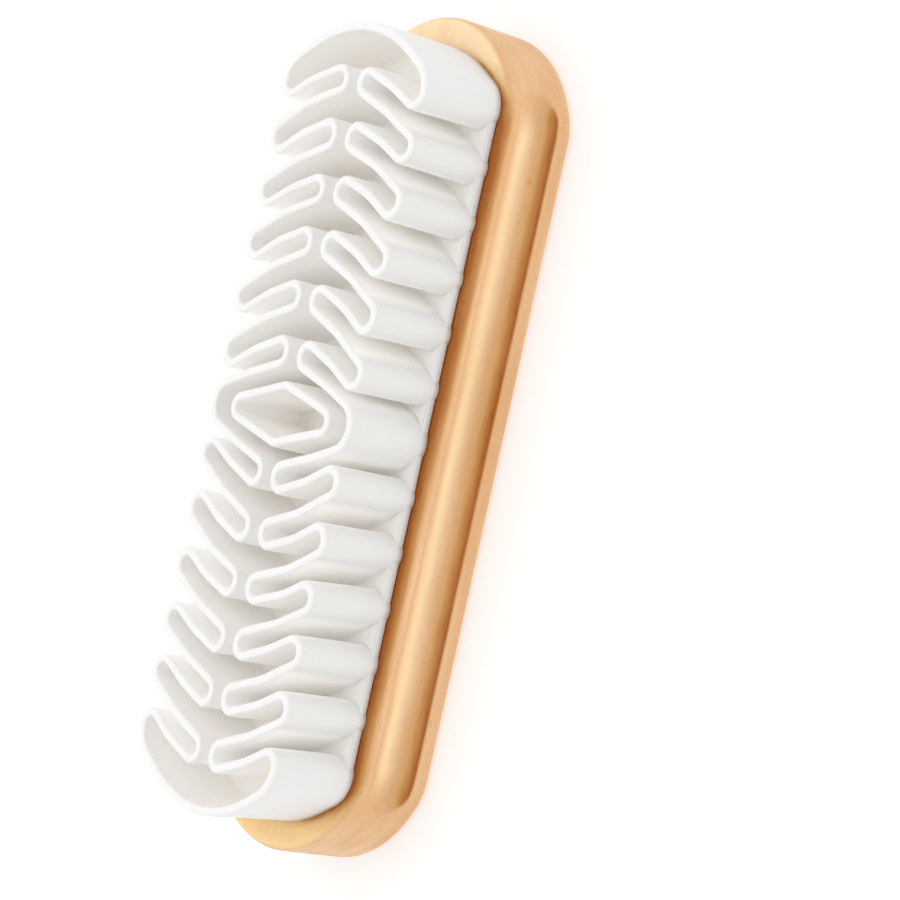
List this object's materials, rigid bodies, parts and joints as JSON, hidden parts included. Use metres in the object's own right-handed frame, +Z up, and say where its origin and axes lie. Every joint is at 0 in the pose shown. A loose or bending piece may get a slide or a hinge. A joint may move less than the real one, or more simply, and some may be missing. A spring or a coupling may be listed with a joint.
{
  "type": "suede brush",
  "caption": "Hand brush for suede: an oblong wooden block with finger grooves that carries a tall pleated rubber wall with a rubber ring in its middle.",
  "frame": {"origin": "on the block's flat back, under the middle of the brush", "axes": "+X along the brush, +Y across it, +Z up from the flat back to the rubber tips"},
  "size_m": [0.15, 0.046, 0.032],
  "materials": {
    "beech": "satin",
    "white_rubber": "matte",
    "glue": "satin"
  },
  "bodies": {
    "root": {"wooden_block": "beech", "glue_film": "glue", "rubber_sheet": "white_rubber", "pleated_wall": "white_rubber", "centre_ring": "white_rubber"}
  },
  "joints": []
}
